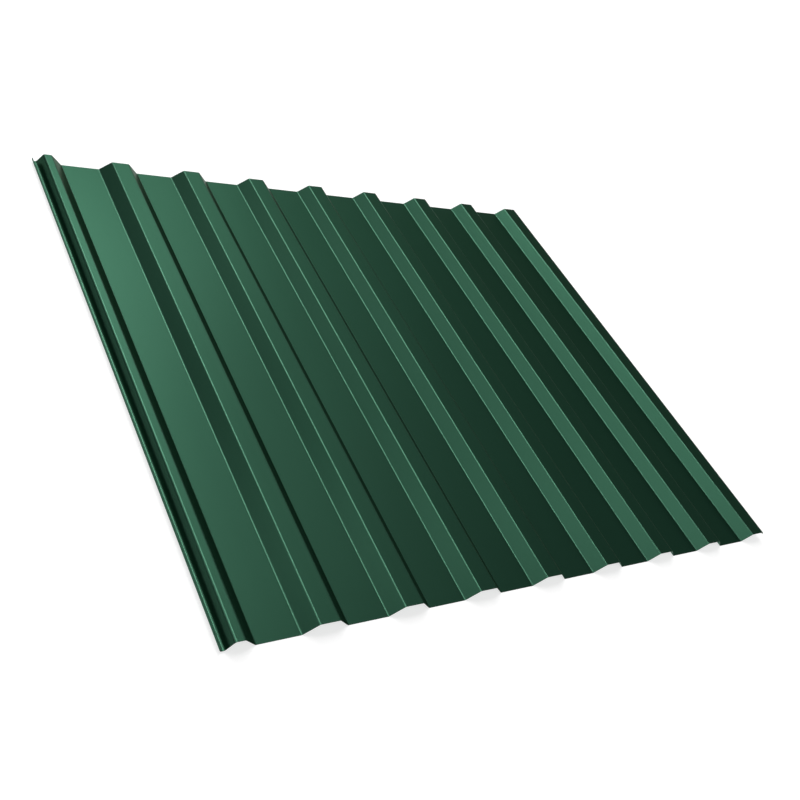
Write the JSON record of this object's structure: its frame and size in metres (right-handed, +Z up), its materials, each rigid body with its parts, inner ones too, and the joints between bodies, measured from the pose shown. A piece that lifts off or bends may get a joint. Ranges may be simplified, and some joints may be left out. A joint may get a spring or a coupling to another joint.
{
  "type": "corrugated metal sheet",
  "caption": "Green coated trapezoidal corrugated steel sheet for roofs and walls, with an under-lap rib and drain groove on one long edge and an over-lap rib on the other.",
  "frame": {"origin": "on the floor under the middle of the sheet, half way along its length and its overall width", "axes": "+X across the ribs from the under-lap edge to the over-lap edge, +Y along the ribs, +Z up out of the coated face"},
  "size_m": [1.1356, 0.96, 0.0185],
  "materials": {
    "colour_coated_steel": "satin polyester coil coat in dark moss green on the upper face, the same green laid thinner and flatter below, dull steel on the cut edges"
  },
  "bodies": {
    "root": {"profiled_sheet": "colour_coated_steel"}
  },
  "joints": []
}
